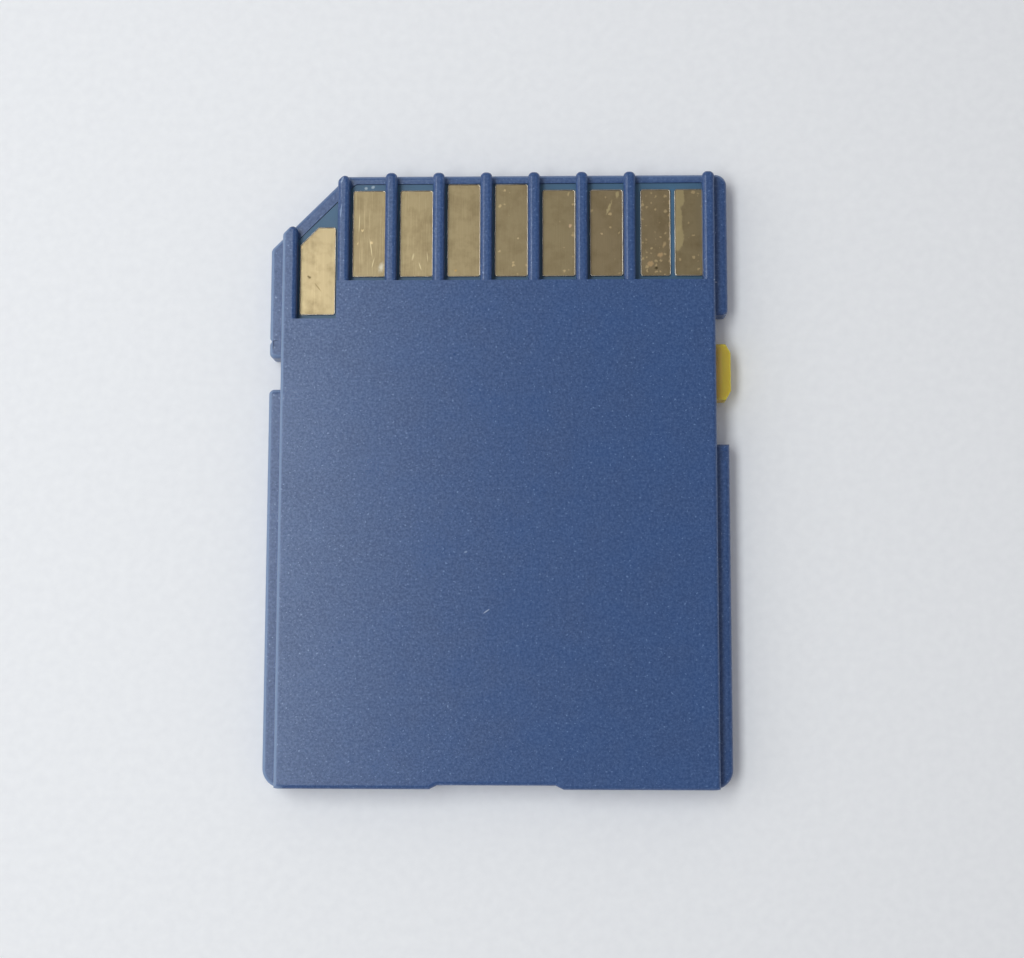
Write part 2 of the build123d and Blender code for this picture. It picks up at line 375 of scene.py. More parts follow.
@dataclass(frozen=True)
class EdgeWearAndHighlight:
    """Where a moulding is painted paler: partly rubbing, partly painted highlight.

    The thumb rubs the rounded edges along the left side, which face the lamps and get painted highlight too;
    sockets rub the lip along the front and the cut, which gets a painted reflection of the bright floor too.
    Rounded edges lean from straight up, and walls are made paler less.

    Attributes:
        rounding: Upward part of the surface direction, from flat faces to rounded edges.
        walls: Upward part of the surface direction, from walls to the crests of the edges.
        left: Place across the card in metres, from inside the panel to its left edge.
        front: Place along the card in metres, over the outer edge of the lip.
        cut_shift: Shift in millimetres that brings the lip along the cut to that place.
        lip_top: Height in millimetres that the lip stays under.
        seam: Height in millimetres of the seam, under which sockets do not reach.
        lip_wipe: Paleness of the lip's flat top, partly rubbing and partly painted reflection.
    """

    rounding: Ramp = Ramp(0.998, 0.92)
    walls: Ramp = Ramp(0.1, 0.5, first=0.25)
    left: Ramp = Ramp(mm(-10.75), mm(-11.1))
    front: Ramp = Ramp(mm(15.54), mm(15.72), last=0.5)
    cut_shift: float = 8.05
    lip_top: float = 1.5
    seam: float = 0.7
    lip_wipe: float = 0.4

    def share(self, tree: Tree, place: Socket, normal: Socket) -> Socket:
        """Work out how far each place is painted paler, for rubbing and for highlight.

        Args:
            tree: Node tree of the material.
            place: Object coordinates in metres.
            normal: Surface direction in the frame of the card.

        Returns:
            Share of the surface that is painted paler.
        """
        x, y, z = split(tree, place)
        upright = compute(tree, "ABSOLUTE", split(tree, normal)[2])
        handled = compute(tree, "MULTIPLY", self.rounding.of(tree, upright), self.walls.of(tree, upright))
        # Left edges face the lamps: painted highlight together with thumb rubbing
        thumbed_and_lit = compute(tree, "MULTIPLY", handled, self.left.of(tree, x))
        past_cut = compute(tree, "SUBTRACT", compute(tree, "SUBTRACT", y, x), mm(self.cut_shift))
        lead = compute(tree, "MAXIMUM", y, past_cut)
        low = compute(tree, "LESS_THAN", z, mm(self.lip_top))
        lip = compute(tree, "MULTIPLY", self.front.of(tree, lead), low)
        # Socket springs ride over the lip's flat top too, and wipe it more lightly; this paleness is partly
        # painted reflection
        upper = compute(tree, "GREATER_THAN", z, mm(self.seam))
        ridden = compute(tree, "MULTIPLY", upper, self.lip_wipe)
        wiped = compute(tree, "MULTIPLY", compute(tree, "MAXIMUM", handled, ridden), lip)
        return compute(tree, "MAXIMUM", thumbed_and_lit, wiped)


@dataclass(frozen=True)
class Finish:
    """A surface finish that builds its own material."""

    name: str

    def material(self) -> bpy.types.Material:
        """Build the material.

        Returns:
            Material with the finish's node tree.
        """
        material = bpy.data.materials.new(self.name)
        material.use_nodes = True
        tree = material.node_tree
        tree.nodes.clear()
        source = add_node(tree, "ShaderNodeTexCoord")
        surface = self.shade(tree, source.outputs["Object"], source.outputs["Normal"])
        add_node(tree, "ShaderNodeOutputMaterial", {"Surface": surface})
        return material

    def shade(self, tree: Tree, place: Socket, normal: Socket) -> Socket:
        """Build the finish's nodes.

        Args:
            tree: Node tree of the material.
            place: Object coordinates in metres.
            normal: Surface direction in the frame of the card.

        Returns:
            Shader output of the surface.
        """
        raise NotImplementedError


@dataclass(frozen=True)
class SparkErodedPlastic(Finish):
    """Blue moulded ABS from a spark-eroded tool: matt fine grain, pale specks of painted glint, smooth rubbed
    edges with painted highlight.

    Spark erosion leaves craters of some 0.05 mm. They are drawn coarser here, so that they show, and their
    pale colour is a painted glint.

    Attributes:
        deep: Colour of the darker clouds.
        crown: Colour of the raised grain.
        speck_glint: Painted glint: pale colour of craters that face the light.
        edge: Colour of edges that are rubbed and painted with highlight.
        mottle: Pattern of the clouds.
        pits: Pattern of the craters.
        clouding: Clouds as a share of the body's colour.
        crowning: Raised grain as a share of its colour.
        speckling: Craters as a share of their colour and shine.
        gloss: Roughness by the clouds.
        sheen: Shine by the grain.
        up: Least upward part of the surface direction where marks show.
    """

    name: str = "abs_blue_spark_eroded"
    colour: str = "#2C4B7D"
    deep: str = "#294676"
    crown: str = "#5171A4"
    # Painted glint: the pale colour that the craters show
    speck_glint: str = "#5676A8"
    edge: str = "#7389AC"
    grain: Grain = Grain(0.13, 4.0, 0.75)
    mottle: Grain = Grain(2.4, 3.0, 0.6)
    pits: Grain = Grain(0.14, 1.5, 0.6)
    clouding: Ramp = Ramp(0.35, 0.68)
    crowning: Ramp = Ramp(0.42, 0.76, last=0.6)
    speckling: Ramp = Ramp(0.642, 0.74)
    gloss: Ramp = Ramp(0.3, 0.7, 0.33, 0.27)
    sheen: Ramp = Ramp(0.3, 0.7, 0.36, 0.64)
    relief: Relief = Relief(0.006, 0.7)
    refraction: float = 1.54
    wear_and_painted_light: EdgeWearAndHighlight = EdgeWearAndHighlight()
    up: float = 0.5
    marks: tuple[Mark, ...] = ()

    def shade(self, tree: Tree, place: Socket, normal: Socket) -> Socket:
        """Build the grain, specks, edge wear and marks of the plastic.

        Args:
            tree: Node tree of the material.
            place: Object coordinates in metres.
            normal: Surface direction in the frame of the card.

        Returns:
            Shader output of the surface.
        """
        grain = self.grain.on(tree, place)
        mottle = self.mottle.on(tree, place)
        specks = self.speckling.of(tree, self.pits.on(tree, place))
        body = blend(tree, self.clouding.of(tree, mottle), self.deep, self.colour)
        grained = blend(tree, self.crowning.of(tree, grain), body, self.crown)
        # Pale specks are painted glints
        glint_flecked = blend(tree, specks, grained, self.speck_glint)
        # Paler edges: partly rubbing, partly painted highlight
        worn_and_lit = blend(tree, self.wear_and_painted_light.share(tree, place, normal), glint_flecked, self.edge)
        marked = worn_and_lit
        for mark in self.marks:
            marked = mark.over(tree, place, marked)
        # Marks lie on faces that look up out of the contact side
        facing = compute(tree, "GREATER_THAN", split(tree, normal)[2], self.up)
        shine = Ramp(first=self.sheen.of(tree, grain))
        return shader(
            tree,
            {
                "Base Color": blend(tree, facing, worn_and_lit, marked),
                "Roughness": self.gloss.of(tree, mottle),
                "IOR": self.refraction,
                "Specular IOR Level": shine.of(tree, specks),
                "Normal": self.relief.of(tree, grain),
            },
        )


@dataclass(frozen=True)
class HardGold(Finish):
    """Hard gold plated over nickel, wiped by socket springs: satin, streaked lengthwise, with flecks.

    Attributes:
        wear_and_painted_light: How far the plating has dulled, with painted shade that darkens contacts
            towards the right.
        streaks: How strongly the wiped lines show.
        flecks: Share of the cells that hold a fleck.
        seed: Number that shifts the patterns from one contact to the next.
        marks: Spots, scratches and painted glints of the contact.
        satin: Roughness by the wiped lines.
        wipe: Fine parallel lines that socket springs leave.
        lining: Wiped lines as a share of their colour.
        clouds: Pattern of the stains.
        staining: Clouds as a share of the stain's colour.
        fleck_spacing: Size of the cells that may hold a fleck in millimetres.
        fleck_radius: Largest fleck beside its cell.
        fleck_edge: Depth inside a fleck as a share of its colour.
        ragging: Pattern that makes the edges of flecks and marks ragged.
        ragged_reach: How far that pattern shifts an edge in millimetres.
        scratch_width: Width in millimetres under which a mark is a scratch and stays straight.
        seed_step: Shift of the patterns for each seed in millimetres.
    """

    wear_and_painted_light: WearAndShade
    streaks: float
    flecks: float
    streak: str = "#BBA985"
    stain: str = "#7E6D50"
    fleck: str = "#C4AC82"
    seed: int = 0
    marks: tuple[Mark, ...] = ()
    satin: Ramp = Ramp(0.3, 0.7, 0.47, 0.33)
    wipe: Lines = Lines(0.06, 2.2, MM_IN_METRE, 3.0, 0.7, turn=4.0)
    lining: Ramp = Ramp(0.52, 0.78)
    clouds: Grain = Grain(0.9, 4.0, 0.62)
    staining: Ramp = Ramp(0.45, 0.75, last=0.7)
    fleck_spacing: float = 0.24
    fleck_radius: float = 0.4
    fleck_edge: Ramp = Ramp(end=0.06, last=0.8)
    ragging: Grain = Grain(0.16, 5.0, 0.7)
    ragged_reach: float = 0.3
    scratch_width: float = 0.13
    relief: Relief = Relief(0.003, 0.35)
    seed_step: tuple[float, float, float] = (3.1, 1.7, 0.0)

    def shade(self, tree: Tree, place: Socket, normal: Socket) -> Socket:
        """Build the wipe streaks, stains, flecks and marks of the plating.

        Args:
            tree: Node tree of the material.
            place: Object coordinates in metres.
            normal: Surface direction in the frame of the card; not used.

        Returns:
            Shader output of the surface.
        """
        shift = tuple(mm(step * self.seed) for step in self.seed_step)
        shifted = add_node(tree, "ShaderNodeMapping", {"Vector": place, "Location": shift}).outputs[0]
        wipe = self.wipe.on(tree, shifted)
        stains = self.staining.of(tree, self.clouds.on(tree, shifted))
        # The plating level's colour holds painted shade as well as dulling
        plated = blend(tree, stains, self.wear_and_painted_light.value, self.stain)
        lines = replace(self.lining, last=self.streaks)
        wiped = blend(tree, lines.of(tree, wipe), plated, self.streak)
        ragged, ragged_place = self.rag(tree, place, (shifted, place))
        colour = blend(tree, self.fleck_cover(tree, ragged), wiped, self.fleck)
        for mark in self.marks:
            ground = place if mark.width < self.scratch_width else ragged_place
            colour = mark.over(tree, ground, colour)
        return shader(
            tree,
            {
                "Base Color": colour,
                "Metallic": 1.0,
                "Roughness": self.satin.of(tree, wipe),
                "Normal": self.relief.of(tree, wipe),
            },
        )

    def rag(self, tree: Tree, place: Socket, grounds: Sequence[Socket]) -> list[Socket]:
        """Bend coordinates with noise, so that flecks and marks get ragged edges.

        Args:
            tree: Node tree of the material.
            place: Object coordinates in metres, which the noise follows.
            grounds: Coordinates to bend.

        Returns:
            The bent coordinates, in the same order.
        """
        bend = self.ragging.node(tree, place).outputs["Color"]
        swing = add_node(
            tree, "ShaderNodeVectorMath", {0: bend, 1: NOISE_MIDDLE}, operation="SUBTRACT"
        )
        reach = mm(self.ragged_reach)
        return [
            add_node(
                tree, "ShaderNodeVectorMath",
                {0: swing.outputs[0], 1: (reach, reach, 0.0), 2: ground},
                operation="MULTIPLY_ADD",
            ).outputs[0]
            for ground in grounds
        ]

    def fleck_cover(self, tree: Tree, place: Socket) -> Socket:
        """Scatter flecks of different sizes over some of the cells.

        Args:
            tree: Node tree of the material.
            place: Ragged coordinates in metres.

        Returns:
            Share of the surface that flecks cover.
        """
        cell = add_node(
            tree, "ShaderNodeTexVoronoi",
            {"Vector": place, "Scale": cells(self.fleck_spacing)},
            voronoi_dimensions="2D",
        )
        chance = add_node(tree, "ShaderNodeSeparateColor", {"Color": cell.outputs["Color"]})
        sizes = Ramp(1.0 - self.flecks, 1.0, last=self.fleck_radius)
        radius = sizes.of(tree, chance.outputs["Red"])
        return self.fleck_edge.of(tree, compute(tree, "SUBTRACT", radius, cell.outputs["Distance"]))


@dataclass(frozen=True)
class SolderMask(Finish):
    """Blue photo-cured solder mask over glass-fibre laminate: glossy skin, faint weave under it.

    Glass cloth repeats every 0.4 mm or so. It is drawn coarser here, so that it shows.

    Attributes:
        shaded: Colour between the threads.
        edge: Colour of the bare laminate.
        weave: Repeat of the weave in millimetres.
        weave_bend: How far the threads stray.
        weave_detail: Number of finer layers in the threads.
        pools: Pattern of the mask's thickness.
        least_depth: Share of the body's colour where no thread shows.
        sawn: Upward part of the surface direction, from the skin to the sawn sides.
        gloss: Roughness by the mask's thickness.
    """

    name: str = "solder_mask_on_laminate"
    colour: str = "#446C8B"
    shaded: str = "#385D7B"
    edge: str = "#8C8A5E"
    weave: float = 2.639
    weave_bend: float = 0.6
    weave_detail: float = 1.0
    pools: Grain = Grain(0.7, 3.0)
    least_depth: float = 0.25
    sawn: Ramp = Ramp(0.6, 0.3)
    gloss: Ramp = Ramp(first=0.34, last=0.5)
    relief: Relief = Relief(0.004, 0.4)
    refraction: float = 1.52
    marks: tuple[Mark, ...] = ()

    def shade(self, tree: Tree, place: Socket, normal: Socket) -> Socket:
        """Build the mask's colour over the weave, and the bare laminate of the sawn sides.

        Args:
            tree: Node tree of the material.
            place: Object coordinates in metres.
            normal: Surface direction in the frame of the card.

        Returns:
            Shader output of the surface.
        """
        across, along = (
            add_node(
                tree, "ShaderNodeTexWave",
                {
                    "Vector": place, "Scale": cells(self.weave) * math.tau / WAVE_TURN,
                    "Distortion": self.weave_bend, "Detail": self.weave_detail,
                },
                bands_direction=direction,
            ).outputs["Fac"]
            for direction in ("X", "Y")
        )
        pools = self.pools.on(tree, place)
        threads = compute(tree, "MULTIPLY", across, along)
        depth = compute(tree, "MULTIPLY_ADD", threads, pools, self.least_depth)
        skin = blend(tree, depth, self.shaded, self.colour)
        upright = compute(tree, "ABSOLUTE", split(tree, normal)[2])
        colour = blend(tree, self.sawn.of(tree, upright), skin, self.edge)
        for mark in self.marks:
            colour = mark.over(tree, place, colour)
        return shader(
            tree,
            {
                "Base Color": colour,
                "Roughness": self.gloss.of(tree, pools),
                "IOR": self.refraction,
                "Normal": self.relief.of(tree, depth),
            },
        )


@dataclass(frozen=True)
class SliderResin(Finish):
    """Yellow moulded acetal: waxy, slightly translucent, with fine flow lines along the tab.

    Attributes:
        deep: Paler colour of the inner side: painted light that lifts the shadow of the panel's step there.
        rubbed: Colour of the outer side, where the thumb rubs.
        flow: Flow lines of the melt.
        flow_shift: How far flow lines shift the end of that painted light in millimetres.
        shadow_fill_band: Place across the card in metres, from the painted light of the inner side to the
            body's colour.
        rubbing: Outward part of the surface direction, as a share of the rubbed colour.
        gloss: Roughness by the grain.
        haze: Share of light that scatters under the surface.
        haze_colour: How far red, green and blue scatter beside each other.
        haze_reach: How far light scatters in millimetres.
    """

    name: str = "acetal_yellow_moulded"
    colour: str = "#BCA635"
    # Painted light: the paler inner side lifts the shadow of the panel's step
    deep: str = "#E9C070"
    rubbed: str = "#CBB84F"
    flow: Lines = Lines(0.16, 0.96, 0.16, 3.0)
    grain: Grain = Grain(0.11, 2.0)
    flow_shift: float = 0.3
    shadow_fill_band: Ramp = Ramp(mm(11.42), mm(11.85))
    rubbing: Ramp = Ramp(0.2, 0.8, last=0.6)
    gloss: Ramp = Ramp(first=0.34, last=0.54)
    relief: Relief = Relief(0.005, 0.5)
    refraction: float = 1.48
    haze: float = 0.85
    haze_colour: tuple[float, float, float] = (1.0, 0.8, 0.3)
    haze_reach: float = 1.2

    def shade(self, tree: Tree, place: Socket, normal: Socket) -> Socket:
        """Build the flow lines and rubbed edges of the resin.

        Args:
            tree: Node tree of the material.
            place: Object coordinates in metres.
            normal: Surface direction in the frame of the card.

        Returns:
            Shader output of the surface.
        """
        flow = self.flow.on(tree, place)
        grain = self.grain.on(tree, place)
        shifted = compute(tree, "MULTIPLY_ADD", flow, mm(self.flow_shift), split(tree, place)[0])
        # Inner side painted paler, to lift the shadow of the panel's step
        body = blend(tree, self.shadow_fill_band.of(tree, shifted), self.deep, self.colour)
        outward = self.rubbing.of(tree, split(tree, normal)[0])
        return shader(
            tree,
            {
                "Base Color": blend(tree, outward, body, self.rubbed),
                "Roughness": self.gloss.of(tree, grain),
                "IOR": self.refraction,
                "Subsurface Weight": self.haze,
                "Subsurface Radius": self.haze_colour,
                "Subsurface Scale": mm(self.haze_reach),
                "Normal": self.relief.of(tree, grain),
            },
        )


@dataclass(frozen=True)
class MouldingCompound(Finish):
    """Black epoxy moulding compound: matt, with pale silica filler showing as fine grey grain.

    Attributes:
        filler: Colour of the silica.
        filling: Grain as a share of the silica's colour.
    """

    name: str = "epoxy_moulding_compound"
    colour: str = "#232427"
    filler: str = "#4A4B4F"
    grain: Grain = Grain(0.08, 3.0)
    filling: Ramp = Ramp(0.5, 0.72)
    relief: Relief = Relief(0.004, 0.5)
    roughness: float = 0.62
    refraction: float = 1.55

    def shade(self, tree: Tree, place: Socket, normal: Socket) -> Socket:
        """Build the filled epoxy.

        Args:
            tree: Node tree of the material.
            place: Object coordinates in metres.
            normal: Surface direction in the frame of the card; not used.

        Returns:
            Shader output of the surface.
        """
        grain = self.grain.on(tree, place)
        return shader(
            tree,
            {
                "Base Color": blend(tree, self.filling.of(tree, grain), self.colour, self.filler),
                "Roughness": self.roughness,
                "IOR": self.refraction,
                "Normal": self.relief.of(tree, grain),
            },
        )


@dataclass(frozen=True)
class TinnedCeramic(Finish):
    """Fired ceramic chip with tinned ends: chalky body, bright soft metal caps.

    Attributes:
        deep: Darker colour of the body's grain.
        middle: Place of the chip's middle across the card in metres.
        body_half_length: Half the bare length between the caps in metres.
        gloss: Roughness from the body to the caps.
    """

    colour: str
    deep: str
    tin: str = "#C9CACC"
    middle: float = 0.0
    body_half_length: float = mm(0.5)
    grain: Grain = Grain(0.09, 3.0)
    gloss: Ramp = Ramp(first=0.6, last=0.32)

    def shade(self, tree: Tree, place: Socket, normal: Socket) -> Socket:
        """Build the ceramic body and its tinned caps.

        Args:
            tree: Node tree of the material.
            place: Object coordinates in metres.
            normal: Surface direction in the frame of the card; not used.

        Returns:
            Shader output of the surface.
        """
        fired = blend(tree, self.grain.on(tree, place), self.deep, self.colour)
        side = compute(tree, "SUBTRACT", split(tree, place)[0], self.middle)
        cap = compute(tree, "GREATER_THAN", compute(tree, "ABSOLUTE", side), self.body_half_length)
        return shader(
            tree,
            {
                "Base Color": blend(tree, cap, fired, self.tin),
                "Metallic": cap,
                "Roughness": self.gloss.of(tree, cap),
            },
        )


@dataclass(frozen=True)
class DrawingPaper(Finish):
    """Uncoated white paper: matt, with soft tooth and faint fibres.

    Attributes:
        fibre: Colour of the fibres.
        tooth: Pattern of the tooth.
        lit: Middle of the floor that the lamps light, in metres.
        glow: Light of the paper by its distance from there in metres, where no lamp reaches.
    """

    name: str = "uncoated_paper"
    colour: str = "#F8F8FA"
    fibre: str = "#EEEEF1"
    tooth: Grain = Grain(0.5, 4.0)
    lit: tuple[float, float, float] = (mm(-60.0), 0.0, 0.0)
    glow: Ramp = Ramp(mm(110.0), mm(310.0), last=0.4, curve=Curve.EASED)
    relief: Relief = Relief(0.03, 0.25)
    roughness: float = 0.9

    def shade(self, tree: Tree, place: Socket, normal: Socket) -> Socket:
        """Build the paper's tooth, and its glow where the lamps no longer reach.

        Args:
            tree: Node tree of the material.
            place: Object coordinates in metres.
            normal: Surface direction in the frame of the card; not used.

        Returns:
            Shader output of the surface.
        """
        tooth = self.tooth.on(tree, place)
        away = add_node(tree, "ShaderNodeVectorMath", {0: place, 1: self.lit}, operation="DISTANCE")
        return shader(
            tree,
            {
                "Base Color": blend(tree, tooth, self.fibre, self.colour),
                "Roughness": self.roughness,
                "Normal": self.relief.of(tree, tooth),
                "Emission Strength": self.glow.of(tree, away.outputs["Value"]),
            },
        )


def dress(name: str, material: bpy.types.Material) -> None:
    """Give a solid of the frame its finish.

    Args:
        name: Node of the frame.
        material: Finish to show on it.
    """
    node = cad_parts[name]
    node.data.materials.clear()
    node.data.materials.append(material)
    LOG.info("dressed %s with %s", name, material.name)


@dataclass
class Shells:
    """The two moulded halves of the card's shell."""

    nodes: tuple[str, ...] = ("back_shell", "front_shell")
    plastic: SparkErodedPlastic = SparkErodedPlastic(
        marks=(
            Mark(-0.53, -7.03, 0.5, 0.06, 35.0, "#B9C6DC"),
            Mark(-1.6, -4.0, 0.22, 0.13, 20.0, "#8FA3C6", 0.6),
            Mark(-8.2, 15.6, 0.5, 0.14, 70.0, "#9FB3D2", 0.7),
            Mark(-8.25, 13.9, 0.9, 0.1, 85.0, "#8FA6CB", 0.6),
            Mark(11.33, 10.18, 0.3, 0.08, 0.0, "#B9C6DC", 0.8),
        )
    )

    def build(self) -> None:
        """Dress both halves in one plastic."""
        material = self.plastic.material()
        for name in self.nodes:
            dress(name, material)


@dataclass
class ContactBoard:
    """Circuit board with nine plated contacts and the proud plated edge around each.

    Attributes:
        bead_radius: Radius of the plated edge in millimetres.
        bead_proud: How far it stands out of the contact in millimetres.
        bead_sides: Sides of the edge's round section.
        mask: Finish of the board.
        contacts: Finish of each contact by its number.
        edge_gold: Finish of the plated edges.
    """

    board: str = "circuit_board"
    bead_radius: float = 0.035
    bead_proud: float = 0.018
    bead_sides: int = 10
    mask: SolderMask = SolderMask(
        marks=(
            Mark(-7.02, 15.33, 0.22, 0.2, 0.0, "#B4C4CF", 0.7),
            Mark(-6.65, 15.39, 0.26, 0.2, 30.0, "#B4C4CF", 0.7),
        )
    )
    # Plating levels run darker towards the right partly as painted shade, where the plating reflects less of
    # the lamps
    contacts: dict[int, HardGold] = field(
        default_factory=lambda: {
            1: HardGold(
                "hard_gold_contact_1", WearAndShade.DULL, streaks=0.45, flecks=0.005, seed=1,
                marks=(
                    Mark(-7.35, 13.4, 1.3, 0.06, 88.0, "#CFBE98", 0.55),
                    Mark(-6.72, 12.1, 1.2, 0.07, 98.0, "#CFBE98", 0.6),
                    Mark(-6.6, 11.3, 0.7, 0.06, 75.0, "#CFBE98", 0.55),
                    # Painted glint: a whitish smear at the contact's lower right corner
                    Mark(-6.16, 11.06, 0.8, 0.42, 78.0, "#D2CDBE", 0.55, 1.0),
                ),
            ),
            2: HardGold(
                "hard_gold_contact_2", WearAndShade.WIPED, streaks=0.5, flecks=0.005, seed=2,
                marks=(
                    Mark(-4.12, 11.1, 0.55, 0.07, 108.0, "#CFBE98"),
                    Mark(-4.5, 11.6, 0.5, 0.12, 75.0, "#CFBE98", 0.5),
                    Mark(-3.74, 11.6, 0.7, 0.06, 95.0, "#CFBE98", 0.6),
                ),
            ),
            3: HardGold(
                "hard_gold_contact_3", WearAndShade.WIPED, streaks=0.25, flecks=0.005, seed=3,
                marks=(Mark(-2.26, 10.87, 0.2, 0.16, 0.0, "#C09A5C"),),
            ),
            4: HardGold(
                "hard_gold_contact_4", WearAndShade.DULL, streaks=0.2, flecks=0.08, seed=4,
                marks=(Mark(1.03, 12.58, 0.13, 0.11, 40.0, "#CDB78F"),),
            ),
            5: HardGold(
                "hard_gold_contact_5", WearAndShade.DULL, streaks=0.15, flecks=0.06, seed=5,
                marks=(
                    Mark(3.79, 13.23, 0.24, 0.2, 60.0, "#D2B290"),
                    Mark(3.7, 14.95, 0.3, 0.14, 70.0, "#C4AE84"),
                ),
            ),
            6: HardGold(
                "hard_gold_contact_6", WearAndShade.TARNISHED, streaks=0.2, flecks=0.06, seed=6,
                marks=(
                    Mark(5.42, 12.81, 0.16, 0.15, 0.0, "#D2B68E"),
                    Mark(5.82, 14.2, 1.1, 0.14, 68.0, "#BAA87E"),
                    Mark(6.25, 14.9, 0.5, 0.2, 80.0, "#BAA87E"),
                ),
            ),
            7: HardGold(
                "hard_gold_contact_7", WearAndShade.TARNISHED, streaks=0.1, flecks=0.45, seed=7,
                marks=(
                    Mark(7.97, 11.18, 0.42, 0.34, 30.0, "#C6A67C"),
                    Mark(8.5, 11.66, 0.38, 0.3, 20.0, "#C6A67C"),
                    Mark(8.71, 12.2, 0.42, 0.2, 70.0, "#BEA47C"),
                    Mark(8.27, 10.95, 0.16, 0.15, 0.0, "#4A3F2A", 0.9),
                ),
            ),
            8: HardGold(
                "hard_gold_contact_8", WearAndShade.DULL, streaks=0.1, flecks=0.08, seed=8,
                marks=(
                    Mark(9.48, 14.75, 1.3, 0.66, 90.0, "#B8A67C", 0.8, 0.2),
                    Mark(9.42, 13.6, 1.6, 0.52, 90.0, "#B8A67C", 0.8, 0.2),
                    Mark(9.46, 12.55, 1.5, 0.6, 84.0, "#B8A67C", 0.8, 0.2),
                ),
            ),
            9: HardGold(
                "hard_gold_contact_9", WearAndShade.BRIGHT, streaks=0.2, flecks=0.005, seed=9,
                marks=(
                    Mark(-9.96, 10.53, 0.24, 0.22, 0.0, "#5F5138", 0.9),
                    Mark(-9.5, 10.0, 0.72, 0.08, -52.0, "#7D6B49", 0.7),
                ),
            ),
        }
    )
    edge_gold: HardGold = HardGold(
        "hard_gold_edge", WearAndShade.POLISHED, streaks=0.1, flecks=0.0, satin=Ramp(0.3, 0.7, 0.3, 0.16)
    )

    def build(self) -> None:
        """Dress the board and contacts and add the plated edges."""
        dress(self.board, self.mask.material())
        for number, gold in self.contacts.items():
            dress(f"contact_pad_{number}", gold.material())
        self.add_edges()

    def outlines(self) -> bpy.types.Mesh:
        """Draw the contacts' outlines as flat faces.

        Returns:
            Mesh with one face for each contact, at the height of the plated edge's middle.
        """
        corners: list[tuple[float, float, float]] = []
        faces: list[Sequence[int]] = []
        for number in self.contacts:
            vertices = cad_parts[f"contact_pad_{number}"].data.vertices
            top = max(vertex.co.z for vertex in vertices)
            plan = [vertex.co.to_2d() for vertex in vertices]
            ring = [plan[index] for index in geometry.convex_hull_2d(plan)]
            height = top + mm(self.bead_proud - self.bead_radius)
            faces.append(range(len(corners), len(corners) + len(ring)))
            corners.extend((point.x, point.y, height) for point in ring)
        mesh = bpy.data.meshes.new("contact_outlines")
        mesh.from_pydata(corners, [], faces)
        return mesh

    def edge_tree(self) -> bpy.types.GeometryNodeTree:
        """Build the tree that runs a round bead along each outline.

        Returns:
            Geometry node tree with the bead's radius, sides and finish as inputs.
        """
        tree = bpy.data.node_groups.new("plated_edge", "GeometryNodeTree")
        for name, kind in (
            ("Outlines", "NodeSocketGeometry"),
            ("Bead Radius", "NodeSocketFloat"),
            ("Bead Sides", "NodeSocketInt"),
            ("Finish", "NodeSocketMaterial"),
        ):
            tree.interface.new_socket(name, in_out="INPUT", socket_type=kind)
        tree.interface.new_socket("Edges", in_out="OUTPUT", socket_type="NodeSocketGeometry")
        given = add_node(tree, "NodeGroupInput")
        path = add_node(tree, "GeometryNodeMeshToCurve", {"Mesh": given.outputs["Outlines"]})
        section = add_node(
            tree, "GeometryNodeCurvePrimitiveCircle",
            {"Radius": given.outputs["Bead Radius"], "Resolution": given.outputs["Bead Sides"]},
        )
        bead = add_node(
            tree, "GeometryNodeCurveToMesh",
            {"Curve": path.outputs["Curve"], "Profile Curve": section.outputs["Curve"]},
        )
        smooth = add_node(tree, "GeometryNodeSetShadeSmooth", {"Geometry": bead.outputs["Mesh"]})
        real = add_node(tree, "GeometryNodeRealizeInstances", {"Geometry": smooth.outputs["Geometry"]})
        finished = add_node(
            tree, "GeometryNodeSetMaterial",
            {"Geometry": real.outputs["Geometry"], "Material": given.outputs["Finish"]},
        )
        add_node(tree, "NodeGroupOutput", {"Edges": finished.outputs["Geometry"]})
        return tree

    def add_edges(self) -> None:
        """Make the plated edges of all contacts as one plain mesh on the card."""
        tree = self.edge_tree()
        material = self.edge_gold.material()
        maker = bpy.data.objects.new("plated_edge_maker", self.outlines())
        bpy.context.scene.collection.objects.link(maker)
        modifier = maker.modifiers.new("plated_edge", "NODES")
        modifier.node_group = tree
        values = {"Bead Radius": mm(self.bead_radius), "Bead Sides": self.bead_sides, "Finish": material}
        for item in tree.interface.items_tree:
            if item.name in values:
                modifier[item.identifier] = values[item.name]
        evaluated = maker.evaluated_get(bpy.context.evaluated_depsgraph_get())
        mesh = bpy.data.meshes.new_from_object(evaluated)
        mesh.name = "contact_edges"
        bpy.data.objects.remove(maker)
        edges = bpy.data.objects.new("contact_edges", mesh)
        bpy.context.scene.collection.objects.link(edges)
        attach(edges, Body.CARD.value)
        LOG.info("made %s with %d faces", edges.name, len(mesh.polygons))


